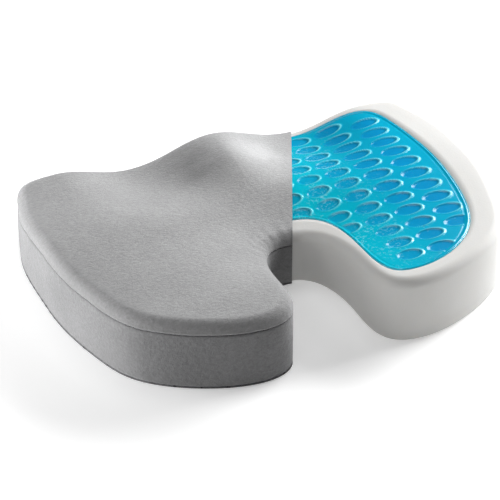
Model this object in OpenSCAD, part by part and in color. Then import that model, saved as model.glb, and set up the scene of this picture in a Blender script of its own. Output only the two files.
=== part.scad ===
// Coccyx seat cushion with a fitted cover shown cut away on its right side.
// A moulded foam block carries a gel layer in a shallow recess. The cover is a top panel, a side
// band and a base panel sewn together, with a zipper and a carry handle on the front of the band.
// Units are millimetres. +X is the width, +Y points to the front ridge, the notch is at -Y.
// Z = 0 is the surface the cushion rests on.

/* [Cushion] */
// width across the two sides
cushion_w = 452; // [430:2:470]
// length from the front edge to the rear lobes
cushion_l = 328; // [316:2:340]
// height of the foam's upper face near the sides
seat_h = 70; // [66:0.5:75]
// rounding where the upper face turns down into the wall
rim_r = 10; // [8:0.5:10.5]
// rounding where the wall turns under
foot_r = 4; // [2:0.5:5]

/* [Seat shape] */
// how much the upper face falls towards the front corners
front_drop = 10; // [6:0.5:12]
// depth of the two leg channels at the front edge
channel_drop = 15; // [8:0.5:17]
// distance of each leg channel from the middle
channel_x = 90; // [84:1:96]
// height of the middle ridge over the front corners
ridge_rise = 4; // [0:0.5:6]
// extra height of the ridge's crest behind the front edge
crest_rise = 4; // [0:0.5:5]
// how far back from the front edge the channels and the ridge fade out
front_fade = 155; // [120:5:170]
// dip of the seat in front of the notch
bowl_drop = 15; // [8:0.5:16]

/* [Layers] */
// thickness of the cover fabric
fabric_t = 1.5; // [1.2:0.1:1.8]
// room between the foam and the cover
cover_gap = 0.7; // [0.6:0.1:1]
// thickness of the base panel
base_t = 1.2; // [0.8:0.1:1.2]
// depth of the recess that holds the gel
gel_recess = 4.5; // [4:0.25:5]
// thickness of the film tray under and around the gel
film_t = 0.5; // [0.4:0.05:0.6]
// width of the groove left between two sewn panels
seam_groove = 0.9; // [0.8:0.1:1]
// radius of the sewing thread
thread_r = 0.3; // [0.25:0.01:0.32]

/* [Zipper] */
// height of the line where the two rows of teeth face each other
zip_z = 9; // [8.8:0.1:9.2]
// spacing of the teeth in one row
tooth_pitch = 3; // [2.5:0.25:3.5]
// length of the pull tab
pull_len = 22; // [16:1:26]

/* [Carry handle] */
// distance from the middle to each sewn end of the handle
handle_end_x = 50; // [47:1:53]
// how far the webbing bows out from the band
handle_bow = 16; // [13:0.5:18]
// width of the webbing
strap_w = 15; // [12:0.5:15]
// thickness of the webbing
strap_t = 2.2; // [1.6:0.1:2.4]

/* [Hidden] */
$fn = 32;

// Control points of the right half of the side wall, from the front middle to the notch middle.
wall_half = [
    [0, 162], [75, 162], [150, 162], [206, 161], [213, 138], [227, 97], [226, 41], [226, -13], [210, -75],
    [194, -119], [139, -154], [87, -169], [50, -161], [39, -131], [41, -88], [33, -51], [16, -30]
];
// Control points of the right half of the gel's border, one for each point of the wall.
gel_half = [
    [0, 147], [60, 147], [119, 149], [170, 147], [181, 124], [186, 73], [188, 17], [184, -39], [171, -93],
    [144, -124], [108, -144], [71, -147], [56, -136], [51, -104], [54, -64], [47, -23], [22, -5]
];
plan_scale = [cushion_w / 452, cushion_l / 328];

// Whole closed control polygon from its right half.
function whole(half) = [
    for (p = half) [p.x * plan_scale.x, p.y * plan_scale.y],
    for (i = [len(half) - 1:-1:1]) [-half[i].x * plan_scale.x, half[i].y * plan_scale.y]
];
wall_ctrl = whole(wall_half);
gel_ctrl = whole(gel_half);

// Point and direction on a closed uniform cubic B-spline.
function pick(c, i) = c[(i + len(c)) % len(c)];
function curve_point(c, u) = let (i = floor(u), f = u - i)
    (pow(1 - f, 3) * pick(c, i - 1) + (3 * pow(f, 3) - 6 * f * f + 4) * pick(c, i)
    + (-3 * pow(f, 3) + 3 * f * f + 3 * f + 1) * pick(c, i + 1) + pow(f, 3) * pick(c, i + 2)) / 6;
function curve_slope(c, u) = let (i = floor(u), f = u - i)
    (-3 * pow(1 - f, 2) * pick(c, i - 1) + (9 * f * f - 12 * f) * pick(c, i)
    + (-9 * f * f + 6 * f + 3) * pick(c, i + 1) + 3 * f * f * pick(c, i + 2)) / 6;

// Stations around the wall. They run clockwise seen from above, from the front middle.
per_span = 4;
n_st = len(wall_ctrl) * per_span;
// stations where the cutaway meets the front edge and the notch
cut_front = 5;
cut_notch = 65;
// stations where the left lobe's end begins and stops, and the same on the right
left_in = 82;
left_out = 94;
right_out = 38;
right_in = 50;
// the cover's stations run from the notch cut round the left side to the front cut
cover_first = cut_notch;
cover_last = n_st + cut_front;

wall_pts = [for (k = [0:n_st - 1]) curve_point(wall_ctrl, k / per_span)];
gel_pts = [for (k = [0:n_st - 1]) curve_point(gel_ctrl, k / per_span)];
cut_a = wall_pts[cut_front];
cut_b = wall_pts[cut_notch];
cut_dir = (cut_b - cut_a) / norm(cut_b - cut_a);
// inward directions, turned along the cut at its two stations
inward = [for (k = [0:n_st - 1])
    let (s = curve_slope(wall_ctrl, k / per_span), n = [s.y, -s.x] / norm(s))
    k == cut_front ? cut_dir / (cut_dir * n) : k == cut_notch ? -cut_dir / (-cut_dir * n) : n];

// Point at a distance inside the wall line.
function inset(k, d) = wall_pts[k % n_st] + inward[k % n_st] * d;
function is_cut(k) = k % n_st == cut_front || k == cut_notch;
// the cover stops a little short of the cut so that it clears the foam's lower right part
function cover_inset(k, d) = inset(k, d) - (is_cut(k) ? [cut_clear, 0] : [0, 0]);
cut_clear = 0.5;

// Middle line of the U shape. Its points close the upper and lower faces.
spine_left = 16;
spine_right = 10;
spine_cut_angle = 21.5;
function spine_angle(j) = j <= spine_left
    ? -90 + (spine_cut_angle + 90) * j / spine_left
    : spine_cut_angle + (90 - spine_cut_angle) * (j - spine_left) / spine_right;
function spine_free(a) = [120 * sin(a) * plan_scale.x, (-88 + 150 * cos(a)) * plan_scale.y];
spine_cut = let (p = spine_free(spine_cut_angle)) cut_a + cut_dir * ((p - cut_a) * cut_dir);
spine = [for (j = [0:spine_left + spine_right]) j == spine_left ? spine_cut : spine_free(spine_angle(j))];
// middle-line point that each station looks at
function share(n, f) = round(n * f);
function spine_of(k) =
    k >= n_st ? spine_of_left(k) :
    k <= cut_front ? spine_of_left(k + n_st) :
    k <= right_out ? spine_left + share(spine_right, (k - cut_front) / (right_out - cut_front)) :
    k <= right_in ? spine_left + spine_right :
    k <= cut_notch ? spine_left + share(spine_right, (cut_notch - k) / (cut_notch - right_in)) :
    k <= left_in ? share(spine_left, (left_in - k) / (left_in - cut_notch)) :
    k <= left_out ? 0 : spine_of_left(k);
function spine_of_left(k) = share(spine_left, (k - left_out) / (n_st + cut_front - left_out));

// Height of the foam's upper face over the floor.
function ease(t) = let (c = max(0, min(1, t))) c * c * (3 - 2 * c);
function wave(t) = (1 + cos(180 * max(-1, min(1, t)))) / 2;
front_y = wall_ctrl[0].y;
// the ridge has a narrow crest behind the front edge and a round one at the edge
crest_r = 9;
function off_crest(x) = (norm([x, crest_r]) - crest_r) / (norm([channel_x, crest_r]) - crest_r);
function sharp_side(x) = sin(90 * min(1, off_crest(x)));
function round_side(x) = 1 - wave(x / channel_x);
function roundness(y) = ease((y - front_y + 44) / 38);
function channel(x, y) = abs(x) < channel_x
    ? sharp_side(x) * (1 - roundness(y)) + round_side(x) * roundness(y)
    : wave((abs(x) - channel_x) / 78);
function front_form(x, y) = -front_drop - channel_drop * channel(x, y) + ridge_rise * wave(x / 70);
function crest_form(x, y) = crest_rise * exp(-pow(x / 34, 2) - pow((y - front_y + 50) / 38, 2));
function seat_z(p) = seat_h
    + front_form(p.x, p.y) * ease((p.y - front_y + front_fade) / (front_fade - 8))
    + crest_form(p.x, p.y)
    - bowl_drop * exp(-pow(p.x / 82, 2) - pow((p.y + 25) / 72, 2));

// Rows of the rounded rim: how far in and how far down for an angle of the rounding.
wall_in = 1;
function rim_in(angle, out) = wall_in + rim_r - (rim_r + out) * cos(angle);
function rim_down(angle, out) = (rim_r + out) * (1 - sin(angle)) - out;
rim_angles = [22.5, 45, 67.5, 90];
fill_rows = [1 / 6, 2 / 6, 3 / 6, 4 / 6, 5 / 6];

// Point between the gel's border and the middle line.
function gel_edge(k, d) = let (g = gel_pts[k % n_st], s = spine[spine_of(k)]) g + (s - g) / norm(s - g) * d;
function toward_spine(p, k, f) = p * (1 - f) + spine[spine_of(k)] * f;
function raise(p, dz) = [p.x, p.y, seat_z(p) + dz];

// Triangles between two rings of vertices that start at indices a and b.
function ring_faces(a, b, n, closed) = [
    for (k = [0:closed ? n - 1 : n - 2])
        let (m = (k + 1) % n)
        each [[a + k, a + m, b + m], [a + k, b + m, b + k]]
];
// Triangles between a ring and the middle line. The list w gives each station's middle-line vertex.
function close_up(a, w, n, closed) = [
    for (k = [0:closed ? n - 1 : n - 2])
        let (m = (k + 1) % n)
        each concat([[a + k, a + m, w[m]]], w[m] == w[k] ? [] : [[a + k, w[m], w[k]]])
];
function close_down(a, w, n, closed) = [
    for (k = [0:closed ? n - 1 : n - 2])
        let (m = (k + 1) % n)
        each concat([[a + m, a + k, w[m]]], w[m] == w[k] ? [] : [[a + k, w[k], w[m]]])
];

// A closed solid made of full rings, from a lower middle line out and up to an upper one. The rows of
// its lower face are split along the same diagonals as those of an upper face.
module ringed_solid(rings, low_spine, high_spine) {
    n = len(rings[0]);
    low_rows = len(fill_rows);
    last = len(rings) - 1;
    at_low = n * len(rings);
    at_high = at_low + len(low_spine);
    points = concat([for (r = rings) each r], low_spine, high_spine);
    faces = concat(
        [for (r = [0:low_rows - 1]) each flipped(ring_faces((r + 1) * n, r * n, n, true))],
        [for (r = [low_rows:last - 1]) each ring_faces(r * n, (r + 1) * n, n, true)],
        close_down(0, [for (k = [0:n - 1]) at_low + spine_of(k)], n, true),
        close_up(last * n, [for (k = [0:n - 1]) at_high + spine_of(k)], n, true)
    );
    polyhedron(points = points, faces = faces, convexity = 8);
}

// --- foam -------------------------------------------------------------------------------------
foam_lift = base_t + 0.3;
function foot_z(k) = k > cut_front && k < cut_notch ? 0 : foam_lift;

module foam_core() {
    s = [for (k = [0:n_st - 1]) k];
    rings = concat(
        [[for (k = s) let (p = inset(k, wall_in + foot_r)) [p.x, p.y, foot_z(k)]]],
        [[for (k = s) let (p = inset(k, wall_in + foot_r * 0.29)) [p.x, p.y, foot_z(k) + foot_r * 0.29]]],
        [[for (k = s) let (p = inset(k, wall_in)) [p.x, p.y, foot_z(k) + foot_r]]],
        [[for (k = s) raise(inset(k, wall_in), -rim_r)]],
        [for (a = rim_angles) [for (k = s) raise(inset(k, rim_in(a, 0)), -rim_down(a, 0))]],
        [[for (k = s) raise(gel_edge(k, 0), 0)]],
        [[for (k = s) raise(gel_edge(k, 0), -gel_recess)]],
        [for (f = fill_rows) [for (k = s) raise(toward_spine(gel_edge(k, 0), k, f), -gel_recess)]]
    );
    n = n_st;
    last = len(rings) - 1;
    at_top = n * len(rings);
    at_left = at_top + len(spine);
    at_right = at_left + spine_left + 1;
    low_a = at_right + spine_right + 1;
    low_b = low_a + 1;
    floor_a = rings[0][cut_front];
    floor_b = rings[0][cut_notch];
    points = concat(
        [for (r = rings) each r],
        [for (p = spine) raise(p, -gel_recess)],
        [for (j = [0:spine_left]) [spine[j].x, spine[j].y, foam_lift]],
        [for (j = [0:spine_right]) [spine[spine_left + j].x, spine[spine_left + j].y, 0]],
        [[floor_a.x, floor_a.y, 0], [floor_b.x, floor_b.y, 0]]
    );
    // the lower left face, the lower right face and the small step between them
    left = [for (k = [cut_notch:n + cut_front]) k % n];
    right = [for (k = [cut_front:cut_notch]) k == cut_front ? low_a : k == cut_notch ? low_b : k];
    left_w = [for (k = [cut_notch:n + cut_front]) at_left + spine_of(k)];
    right_w = [for (k = [cut_front:cut_notch]) at_right + spine_of(k) - spine_left];
    faces = concat(
        [for (k = [0:n - 1]) if (k != cut_front && k != cut_notch - 1)
            let (m = (k + 1) % n) each [[k, m, n + m], [k, n + m, n + k]]],
        [[n + cut_front, cut_front, low_a], [n + cut_front, low_a, cut_front + 1],
            [n + cut_front, cut_front + 1, n + cut_front + 1]],
        [[n + cut_notch, n + cut_notch - 1, cut_notch - 1], [n + cut_notch, cut_notch - 1, low_b],
            [n + cut_notch, low_b, cut_notch]],
        [for (r = [1:last - 1]) each ring_faces(r * n, (r + 1) * n, n, true)],
        close_up(last * n, [for (k = [0:n - 1]) at_top + spine_of(k)], n, true),
        chain_down(left, left_w),
        chain_down(right, right_w),
        [[cut_front, at_left + spine_left, at_right], [cut_front, at_right, low_a],
            [at_left + spine_left, cut_notch, low_b], [at_left + spine_left, low_b, at_right]]
    );
    color("white") polyhedron(points = points, faces = faces, convexity = 8);
}
function chain_down(v, w) = [
    for (i = [0:len(v) - 2])
        each concat([[v[i + 1], v[i], w[i]]], w[i + 1] == w[i] ? [] : [[v[i + 1], w[i], w[i + 1]]])
];

// --- gel --------------------------------------------------------------------------------------
function gel_row(d, dz) = [for (k = [0:n_st - 1]) raise(gel_edge(k, d), dz)];
// inner rows share one plan for every layer, so that the layers' facets run side by side
function gel_fill(dz, rows) = [for (f = rows) [for (k = [0:n_st - 1])
    raise(toward_spine(gel_edge(k, 0), k, f), dz)]];
function backwards(v) = [for (i = [len(v) - 1:-1:0]) v[i]];
function spine_at(dz) = [for (p = spine) raise(p, dz)];

film_low = -gel_recess + 0.1;
film_top = 0.3;
film_out = 0.3;
film_in = film_out + film_t;
gel_in = film_in + 0.2;

module gel_backing_film() {
    rings = concat(
        gel_fill(film_low, backwards(fill_rows)),
        [gel_row(film_out, film_low), gel_row(film_out, film_top)],
        [gel_row(film_in, film_top), gel_row(film_in, film_low + film_t)],
        gel_fill(film_low + film_t, fill_rows)
    );
    color("deepskyblue") ringed_solid(rings, spine_at(film_low), spine_at(film_low + film_t));
}

module gel_pad() {
    low = film_low + film_t + 0.1;
    rings = concat(
        gel_fill(low, backwards(fill_rows)),
        [gel_row(gel_in, low), gel_row(gel_in, -0.8), gel_row(gel_in + 0.8, 0)],
        gel_fill(0, fill_rows)
    );
    color("cyan") ringed_solid(rings, spine_at(low), spine_at(0));
}

// --- cover ------------------------------------------------------------------------------------
cover_out = cover_gap + fabric_t;
cover_in_d = wall_in - cover_gap;
cover_out_d = wall_in - cover_out;
cover_st = [for (k = [cover_first:cover_last]) k];
n_cover = len(cover_st);
function seam_z(k) = seat_z(inset(k, wall_in)) - rim_r;
// plan point on the cover over the gel's border, kept on the cut at its two ends
function over_gel(k) = is_cut(k) ? cover_inset(k, 17) : gel_edge(k, 0);
cover_spine = [for (j = [0:spine_left]) spine[j] - (j == spine_left ? [cut_clear, 0] : [0, 0])];
function cover_rows(out) = concat(
    [[for (k = cover_st) let (p = cover_inset(k, wall_in - out)) [p.x, p.y, seam_z(k) + seam_groove / 2]]],
    [for (a = rim_angles) [for (k = cover_st) raise(cover_inset(k, rim_in(a, out)), -rim_down(a, out))]],
    [[for (k = cover_st) raise(over_gel(k), out)]],
    [for (f = fill_rows) [for (k = cover_st)
        raise(over_gel(k) * (1 - f) + cover_spine[spine_of(k)] * f, out)]]
);

module cover_top_panel() {
    upper = cover_rows(cover_out);
    lower = cover_rows(cover_gap);
    n = n_cover;
    rows = len(upper);
    half = n * rows;
    at_upper = 2 * half;
    at_lower = at_upper + spine_left + 1;
    points = concat(
        [for (r = upper) each r], [for (r = lower) each r],
        [for (p = cover_spine) raise(p, cover_out)], [for (p = cover_spine) raise(p, cover_gap)]
    );
    upper_w = [for (k = cover_st) at_upper + spine_of(k)];
    lower_w = [for (k = cover_st) at_lower + spine_of(k)];
    // the two straight runs of the cut, each from the seam in to the middle line
    first_up = concat([for (r = [0:rows - 1]) r * n], [at_upper + spine_left]);
    first_low = concat([for (r = [0:rows - 1]) half + r * n], [at_lower + spine_left]);
    last_up = concat([for (r = [0:rows - 1]) r * n + n - 1], [at_upper + spine_left]);
    last_low = concat([for (r = [0:rows - 1]) half + r * n + n - 1], [at_lower + spine_left]);
    faces = concat(
        [for (r = [0:rows - 2]) each ring_faces(r * n, (r + 1) * n, n, false)],
        close_up((rows - 1) * n, upper_w, n, false),
        [for (r = [0:rows - 2]) each flipped(ring_faces(half + r * n, half + (r + 1) * n, n, false))],
        flipped(close_up(half + (rows - 1) * n, lower_w, n, false)),
        ring_faces(half, 0, n, false),
        strip(first_low, first_up),
        flipped(strip(last_low, last_up))
    );
    color("gray") polyhedron(points = points, faces = faces, convexity = 8);
}
function flipped(faces) = [for (f = faces) [f[0], f[2], f[1]]];
function strip(a, b) = [
    for (i = [0:len(a) - 2]) each [[a[i], b[i], b[i + 1]], [a[i], b[i + 1], a[i + 1]]]
];

band_low = base_t + seam_groove;
slit_h = 2;
slit_from = 125 - cover_first;
slit_to = n_st + 3 - cover_first;
function band_levels(k) = [band_low, zip_z - slit_h / 2, zip_z + slit_h / 2, seam_z(k) - seam_groove / 2];

module cover_boxing() {
    n = n_cover;
    function side(d, l) = [for (k = cover_st) let (p = cover_inset(k, d)) [p.x, p.y, band_levels(k)[l]]];
    points = concat(
        [for (l = [0:3]) each side(cover_out_d, l)],
        [for (l = [0:3]) each side(cover_in_d, l)]
    );
    function wall(l, from, to) = [for (k = [from:to - 1]) each
        [[l * n + k, l * n + k + 1, (l + 1) * n + k + 1], [l * n + k, (l + 1) * n + k + 1, (l + 1) * n + k]]];
    function both(l, from, to) = concat(wall(l, from, to), flipped(wall(l + 4, from, to)));
    // faces across the fabric at a level, seen from above
    function across(l, from, to) = [for (k = [from:to - 1]) each
        [[l * n + k, l * n + k + 1, (l + 4) * n + k + 1], [l * n + k, (l + 4) * n + k + 1, (l + 4) * n + k]]];
    function end_cap(k, low, high) = [for (l = [low:high - 1]) each
        [[(l + 4) * n + k, l * n + k, (l + 1) * n + k], [(l + 4) * n + k, (l + 1) * n + k, (l + 5) * n + k]]];
    faces = concat(
        both(0, 0, n - 1), both(2, 0, n - 1),
        both(1, 0, slit_from), both(1, slit_to, n - 1),
        across(3, 0, n - 1), flipped(across(0, 0, n - 1)),
        across(1, slit_from, slit_to), flipped(across(2, slit_from, slit_to)),
        end_cap(slit_to, 1, 2), flipped(end_cap(slit_from, 1, 2)),
        end_cap(0, 0, 3), flipped(end_cap(n - 1, 0, 3))
    );
    color("silver") polyhedron(points = points, faces = faces, convexity = 8);
}

module cover_base_panel() {
    color("dimgray") linear_extrude(height = base_t)
        polygon([for (k = cover_st) cover_inset(k, cover_out_d)]);
}

// One row of stitches along the panel edge at the given height of each station.
module stitch_row(height_of) {
    d = wall_in - cover_gap - fabric_t / 2;
    for (i = [0:n_cover - 2]) {
        k = cover_st[i];
        p = cover_inset(k, d);
        q = cover_inset(k + 1, d);
        a = [p.x, p.y, height_of(k)];
        b = [q.x, q.y, height_of(k + 1)];
        count = max(1, round(norm(b - a) / 5));
        for (s = [0:count - 1]) {
            stitch(a + (b - a) * (s + 0.2) / count, a + (b - a) * (s + 0.8) / count, thread_r);
        }
    }
}
module stitch(a, b, r) {
    v = b - a;
    translate(a)
        rotate([0, acos(v.z / norm(v)), atan2(v.y, v.x)])
            cylinder(h = norm(v), r = r, $fn = 12);
}
module top_seam_stitching() {
    color("darkgray") stitch_row(function(k) seam_z(k));
}
module base_seam_stitching() {
    color("darkgray") stitch_row(function(k) base_t + seam_groove / 2);
}

// --- zipper -----------------------------------------------------------------------------------
band_y = front_y + cover_out - wall_in;
tape_t = 0.8;
tape_y = band_y + 0.1;
tooth_t = 1.2;
tooth_h = 2;
tooth_y = tape_y + tape_t + 0.05;
row_gap = 1.6;
zip_left = curve_point(wall_ctrl, 125 / per_span).x;
zip_right = curve_point(wall_ctrl, 3 / per_span).x;
stop_w = 2;

module tape(low, high) {
    translate([zip_left - 6, tape_y, low])
        cube([zip_right - zip_left + 12, tape_t, high - low]);
}
module zipper_tape_upper() {
    color("slategray") tape(zip_z + slit_h / 2 + 0.1, zip_z + 7);
}
module zipper_tape_lower() {
    color("slategray") tape(zip_z - 5.8, zip_z - slit_h / 2 - 0.1);
}
module teeth(z, shift) {
    count = floor((zip_right - zip_left - 2 * stop_w - 4) / tooth_pitch);
    for (i = [0:count - 1]) {
        translate([zip_left + stop_w + 2 + shift + i * tooth_pitch, tooth_y, z])
            cube([tooth_pitch * 0.55, tooth_t, tooth_h]);
    }
}
module zipper_teeth_upper() {
    color("dimgray") teeth(zip_z + row_gap / 2, tooth_pitch / 2);
}
module zipper_teeth_lower() {
    color("dimgray") teeth(zip_z - row_gap / 2 - tooth_h, 0);
}
module zipper_end_stops() {
    color("silver") for (x = [zip_left, zip_right - stop_w]) {
        translate([x, tooth_y, zip_z - row_gap / 2 - tooth_h])
            cube([stop_w, tooth_t + 0.2, row_gap + 2 * tooth_h]);
    }
}
module zipper_stitching() {
    y = tape_y + tape_t + 0.3;
    color("darkgray") for (z = [zip_z - 4.6, zip_z + 5.4], x = [zip_left - 4:5:zip_right + 2]) {
        translate([x, y, z])
            rotate([0, 90, 0])
                cylinder(h = 3, r = 0.25, $fn = 12);
    }
}

slider_len = 9;
slider_x = zip_right - stop_w - 0.6 - slider_len / 2;
plate_y = tooth_y + tooth_t + 0.4;
plate_t = 1.2;
slider_half = row_gap / 2 + tooth_h + 0.35 + 1.1;
pivot_y = plate_y + plate_t + 1.7;
pivot_r = 0.6;
lug_r = 1.5;
eye_w = 1.8;
lug_w = 1.2;
pull_gap = 0.3;
module zipper_slider() {
    back = tape_y + tape_t + 0.35;
    color("silver") {
        // face plate, its two turned edges and the neck between the rows of teeth
        translate([slider_x - slider_len / 2, plate_y, zip_z - slider_half])
            cube([slider_len, plate_t, 2 * slider_half]);
        for (z = [zip_z - slider_half, zip_z + slider_half - 1.1]) {
            translate([slider_x - slider_len / 2, back, z])
                cube([slider_len, plate_y - back + 0.1, 1.1]);
        }
        translate([slider_x - 2, band_y - fabric_t + 0.2, zip_z - 0.5])
            cube([4, plate_y - band_y + fabric_t, 1]);
        // two lugs and the pin that carries the pull tab
        for (z = [zip_z - eye_w / 2 - pull_gap - lug_w, zip_z + eye_w / 2 + pull_gap]) {
            translate([slider_x, pivot_y, z])
                cylinder(h = lug_w, r = lug_r);
            translate([slider_x - lug_r, plate_y + plate_t - 0.1, z])
                cube([2 * lug_r, pivot_y - plate_y - plate_t + 0.1, lug_w]);
        }
        translate([slider_x, pivot_y, zip_z - eye_w / 2 - pull_gap - lug_w / 2])
            cylinder(h = eye_w + 2 * pull_gap + lug_w, r = pivot_r);
    }
}
module zipper_pull() {
    tab_w = 6;
    tab_start = lug_r + 0.6;
    color("gainsboro") difference() {
        union() {
            translate([slider_x, pivot_y, zip_z - eye_w / 2])
                cylinder(h = eye_w, r = 1.3);
            translate([slider_x, pivot_y - 0.6, zip_z - eye_w / 2])
                cube([tab_start + 1, 1.2, eye_w]);
            translate([slider_x + tab_start, pivot_y - 0.6, zip_z - tab_w / 2])
                cube([pull_len - tab_start - tab_w / 2, 1.2, tab_w]);
            translate([slider_x + pull_len - tab_w / 2, pivot_y + 0.6, zip_z])
                rotate([90, 0, 0])
                    cylinder(h = 1.2, r = tab_w / 2);
        }
        translate([slider_x, pivot_y, zip_z - tab_w])
            cylinder(h = 2 * tab_w, r = pivot_r + 0.05);
        translate([slider_x + pull_len - tab_w / 2, pivot_y + 1, zip_z])
            rotate([90, 0, 0])
                cylinder(h = 2, r = 1.5);
    }
}

// --- carry handle -----------------------------------------------------------------------------
handle_z = 26.5;
patch_w = 20;
patch_h = 17;
patch_x = handle_end_x + 5;
patch_t = 1.2;
patch_y = band_y + 0.1;
roll_r = 1.5;
keeper_r = 2.6;
axis_y = patch_y + patch_t + keeper_r - 0.3;
arch_x = handle_end_x - 6;
module handle_end_patches() {
    color("dimgray") for (side = [-1, 1]) difference() {
        union() {
            translate([side * patch_x - patch_w / 2, patch_y, handle_z - patch_h / 2])
                cube([patch_w, patch_t, patch_h]);
            translate([side * (handle_end_x - 2.5) - 2, axis_y, handle_z])
                rotate([0, 90, 0])
                    cylinder(h = 4, r = keeper_r);
        }
        translate([side * (handle_end_x - 2.5) - 5, axis_y, handle_z])
            rotate([0, 90, 0])
                cylinder(h = 10, r = roll_r + 0.08);
    }
}
// the webbing: an arch seen from above, narrowing to a rolled end at each side
module handle_loop() {
    arch_r = (pow(arch_x, 2) + pow(handle_bow, 2)) / (2 * handle_bow);
    color("darkslategray") {
        intersection() {
            translate([0, axis_y, handle_z - strap_w])
                linear_extrude(height = 2 * strap_w)
                    difference() {
                        translate([0, handle_bow - arch_r])
                            circle(r = arch_r + strap_t / 2, $fn = 128);
                        translate([0, handle_bow - arch_r])
                            circle(r = arch_r - strap_t / 2, $fn = 128);
                        translate([-2 * arch_r, -4 * arch_r - 1])
                            square([4 * arch_r, 4 * arch_r]);
                    }
            translate([0, axis_y + 60, handle_z])
                rotate([90, 0, 0])
                    linear_extrude(height = 120)
                        polygon([for (s = [1, -1]) each [
                            [-s * (arch_x + 1), -s * 2.2], [-s * (arch_x - 15), -s * strap_w / 2],
                            [s * (arch_x - 15), -s * strap_w / 2], [s * (arch_x + 1), -s * 2.2]]]);
        }
        for (side = [-1, 1]) {
            translate([side * (arch_x + 2.5) - 3.5, axis_y, handle_z])
                rotate([0, 90, 0])
                    cylinder(h = 7, r = roll_r);
        }
    }
}
module handle_stitching() {
    y = patch_y + patch_t + 0.35;
    color("lightgray") for (side = [-1, 1], z = [-1, 1]) {
        for (i = [0:3]) {
            translate([side * patch_x - patch_w / 2 + 1.6 + i * 4.4, y, handle_z + z * (patch_h / 2 - 1.4)])
                rotate([0, 90, 0])
                    cylinder(h = 3.2, r = 0.25, $fn = 12);
        }
    }
}

module care_label() {
    color("white") translate([-128, band_y + 0.1, 19])
        cube([20, 0.4, 15]);
}

foam_core();
gel_backing_film();
gel_pad();
cover_top_panel();
cover_boxing();
cover_base_panel();
top_seam_stitching();
base_seam_stitching();
zipper_tape_upper();
zipper_tape_lower();
zipper_teeth_upper();
zipper_teeth_lower();
zipper_stitching();
zipper_end_stops();
zipper_slider();
zipper_pull();
handle_end_patches();
handle_stitching();
handle_loop();
care_label();
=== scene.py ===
"""Looks of the coccyx seat cushion: velour cover cut away on the right, foam and dimpled gel."""

import math

import bmesh
import bpy
import numpy as np
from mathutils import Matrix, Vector


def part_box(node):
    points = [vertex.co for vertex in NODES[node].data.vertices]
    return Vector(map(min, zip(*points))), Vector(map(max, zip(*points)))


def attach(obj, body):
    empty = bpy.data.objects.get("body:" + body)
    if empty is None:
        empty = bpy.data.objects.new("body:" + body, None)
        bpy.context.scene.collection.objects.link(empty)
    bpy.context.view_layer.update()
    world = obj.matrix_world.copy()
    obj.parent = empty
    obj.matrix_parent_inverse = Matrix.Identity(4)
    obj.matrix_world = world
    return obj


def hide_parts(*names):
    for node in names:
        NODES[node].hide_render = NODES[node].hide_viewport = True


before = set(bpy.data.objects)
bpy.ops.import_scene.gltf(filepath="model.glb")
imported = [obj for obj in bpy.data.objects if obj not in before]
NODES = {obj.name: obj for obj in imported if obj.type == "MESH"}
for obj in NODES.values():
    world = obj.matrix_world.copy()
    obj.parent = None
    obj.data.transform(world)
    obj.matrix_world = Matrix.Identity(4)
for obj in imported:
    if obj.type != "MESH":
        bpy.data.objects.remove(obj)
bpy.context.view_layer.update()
MM = 0.001

# ---------------------------------------------------------------- the cushion's shape, in mm
# Right half of the side wall and of the gel's border, from the front middle to the notch middle.
WALL_HALF = [
    (0, 162), (75, 162), (150, 162), (206, 161), (213, 138), (227, 97), (226, 41), (226, -13), (210, -75),
    (194, -119), (139, -154), (87, -169), (50, -161), (39, -131), (41, -88), (33, -51), (16, -30),
]
GEL_HALF = [
    (0, 147), (60, 147), (119, 149), (170, 147), (181, 124), (186, 73), (188, 17), (184, -39), (171, -93),
    (144, -124), (108, -144), (71, -147), (56, -136), (51, -104), (54, -64), (47, -23), (22, -5),
]
SEAT_H = 70.0
RIM_R = 10.0
WALL_IN = 1.0
COVER_GAP = 0.7
FABRIC_T = 1.5
COVER_OUT = COVER_GAP + FABRIC_T
FRONT_DROP, CHANNEL_DROP, CHANNEL_X, RIDGE_RISE, FRONT_FADE, BOWL_DROP = 10, 15, 90, 4, 155, 15
# rounding and extra height of the ridge's crest behind the front edge
CREST_R = 9.0
CREST_RISE = 4.0
# the two points where the cutaway meets the front edge and the notch
CUT_U = (1.25, 16.25)
CUT_CLEAR = 0.5


def whole(half):
    half = np.array(half, float)
    return np.vstack([half, half[:0:-1] * (-1, 1)])


def spline(ctrl, u):
    """Points of a closed uniform cubic B-spline at the parameters u."""
    i = np.floor(u).astype(int)
    f = (u - i)[:, None]
    p = [ctrl[(i + k) % len(ctrl)] for k in (-1, 0, 1, 2)]
    w = [(1 - f) ** 3, 3 * f**3 - 6 * f**2 + 4, -3 * f**3 + 3 * f**2 + 3 * f + 1, f**3]
    return sum(a * b for a, b in zip(w, p)) / 6


def slope(ctrl, u):
    i = np.floor(u).astype(int)
    f = (u - i)[:, None]
    p = [ctrl[(i + k) % len(ctrl)] for k in (-1, 0, 1, 2)]
    w = [-3 * (1 - f) ** 2, 9 * f**2 - 12 * f, -9 * f**2 + 6 * f + 3, 3 * f**2]
    return sum(a * b for a, b in zip(w, p)) / 6


WALL = whole(WALL_HALF)
GEL = whole(GEL_HALF)
SPANS = len(WALL)


def ease(t):
    t = np.clip(t, 0, 1)
    return t * t * (3 - 2 * t)


def wave(t):
    return (1 + np.cos(np.pi * np.clip(t, -1, 1))) / 2


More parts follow.
